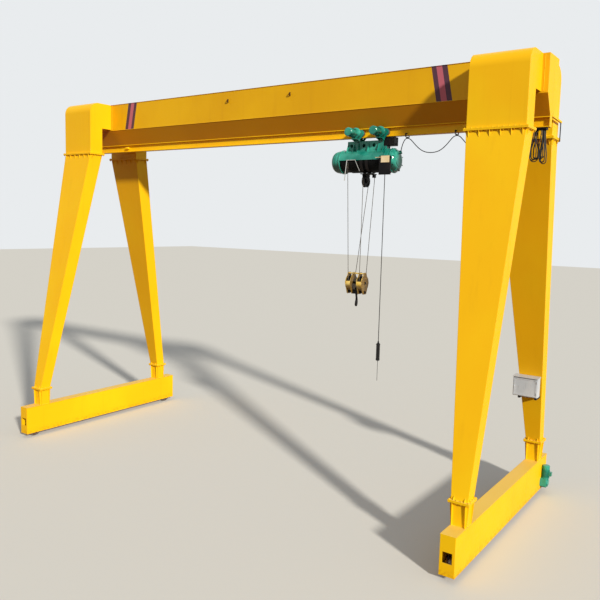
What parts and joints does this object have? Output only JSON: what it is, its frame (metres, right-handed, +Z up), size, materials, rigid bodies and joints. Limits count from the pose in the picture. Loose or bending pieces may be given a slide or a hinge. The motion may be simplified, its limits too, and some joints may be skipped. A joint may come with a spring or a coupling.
{
  "type": "single-girder gantry crane",
  "caption": "Single-girder gantry crane: box girder on splayed tapered legs and wheeled ground beams, with a travelling wire-rope hoist, hook block and pendant control.",
  "frame": {"origin": "on the floor under the middle of the girder, midway between the two ground beams", "axes": "+X along the girder towards the end where the festoon cable is parked, +Y across it towards the back legs, +Z up"},
  "size_m": [14.912, 6.1, 10.31],
  "materials": {
    "crane_yellow_paint": "gloss enamel, weathered",
    "hoist_green_paint": "hammered gloss enamel",
    "block_yellow_paint": "worn enamel",
    "wheel_steel": "machined, dull",
    "zinc_steel": "zinc plated",
    "greased_steel": "black with grease",
    "black_steel": "satin black",
    "cabinet_grey_paint": "textured powder coat",
    "cream_paint": "satin enamel",
    "cable_rubber": "matt rubber",
    "black_plastic": "moulded",
    "wire_rope": "oiled strands"
  },
  "bodies": {
    "gantry": {"girder_box": "crane_yellow_paint", "girder_track_beam": "crane_yellow_paint", "girder_end_plates": "crane_yellow_paint", "track_stops": "crane_yellow_paint", "leg_head_front_left": "crane_yellow_paint", "leg_head_front_right": "crane_yellow_paint", "leg_head_back_left": "crane_yellow_paint", "leg_head_back_right": "crane_yellow_paint", "leg_front_left": "crane_yellow_paint", "leg_front_right": "crane_yellow_paint", "leg_back_left": "crane_yellow_paint", "leg_back_right": "crane_yellow_paint", "leg_foot_front_left": "crane_yellow_paint", "leg_foot_front_right": "crane_yellow_paint", "leg_foot_back_left": "crane_yellow_paint", "leg_foot_back_right": "crane_yellow_paint", "ground_beam_left": "crane_yellow_paint", "ground_beam_right": "crane_yellow_paint", "cable_arm": "crane_yellow_paint", "travel_wheels_left": "wheel_steel", "travel_wheels_right": "wheel_steel", "travel_drive_left": "hoist_green_paint", "travel_drive_right": "hoist_green_paint", "control_cabinet": "cabinet_grey_paint", "cabinet_bracket": "black_steel", "festoon_clamp": "black_steel", "festoon_loops": "cable_rubber", "festoon_bundle": "cable_rubber"},
    "trolley": {"trolley_bogie_left": "hoist_green_paint", "trolley_bogie_right": "hoist_green_paint", "trolley_wheels": "wheel_steel", "trolley_motor_left": "hoist_green_paint", "trolley_motor_right": "hoist_green_paint", "hoist_frame": "hoist_green_paint", "hoist_shell": "hoist_green_paint", "hoist_motor": "hoist_green_paint", "hoist_gearbox": "hoist_green_paint", "hoist_control_box": "black_steel", "hoist_label_plate": "cream_paint", "cable_terminal_box": "black_steel", "upper_pulley": "greased_steel", "pulley_yoke": "black_steel", "limit_lever": "zinc_steel", "wire_rope_falls": "wire_rope", "pendant_cable": "cable_rubber", "pendant_control": "black_plastic", "pendant_pull_cord": "cable_rubber"},
    "rope_drum": {"hoist_drum": "greased_steel"},
    "hook_block": {"hook_block_frame": "block_yellow_paint", "hook_block_sheaves": "greased_steel", "hook_crosshead": "black_steel"},
    "hook": {"hook": "black_steel"},
    "carrier_1": {"cable_carrier_1": "black_steel"},
    "carrier_2": {"cable_carrier_2": "black_steel"}
  },
  "joints": [
    {"name": "trolley_travel", "type": "slide", "parent": "gantry", "child": "trolley", "axis": [1, 0, 0], "range_m": [-8, 1.7], "deforming": ["festoon_loops"]},
    {"name": "hook_lift", "type": "slide", "parent": "trolley", "child": "hook_block", "axis": [0, 0, 1], "range_m": [-4.2, 1.7], "deforming": ["wire_rope_falls"]},
    {"name": "drum_spin", "type": "hinge", "parent": "trolley", "child": "rope_drum", "pos_m": [3.08, 0, 8.3], "axis": [1, 0, 0], "continuous": true},
    {"name": "hook_swivel", "type": "hinge", "parent": "hook_block", "child": "hook", "pos_m": [2.93, 0, 4.85], "axis": [0, 0, 1], "continuous": true},
    {"name": "carrier_1_travel", "type": "slide", "parent": "gantry", "child": "carrier_1", "axis": [1, 0, 0], "range_m": [-7.9448, 1.6883]},
    {"name": "carrier_2_travel", "type": "slide", "parent": "gantry", "child": "carrier_2", "axis": [1, 0, 0], "range_m": [-4.6208, 0.9819]}
  ],
  "couplings": [
    {"joint": "drum_spin", "follows": "hook_lift", "rad_per_m": 15.07},
    {"joint": "carrier_1_travel", "follows": "trolley_travel", "ratio": 0.9931},
    {"joint": "carrier_2_travel", "follows": "trolley_travel", "ratio": 0.5776}
  ]
}
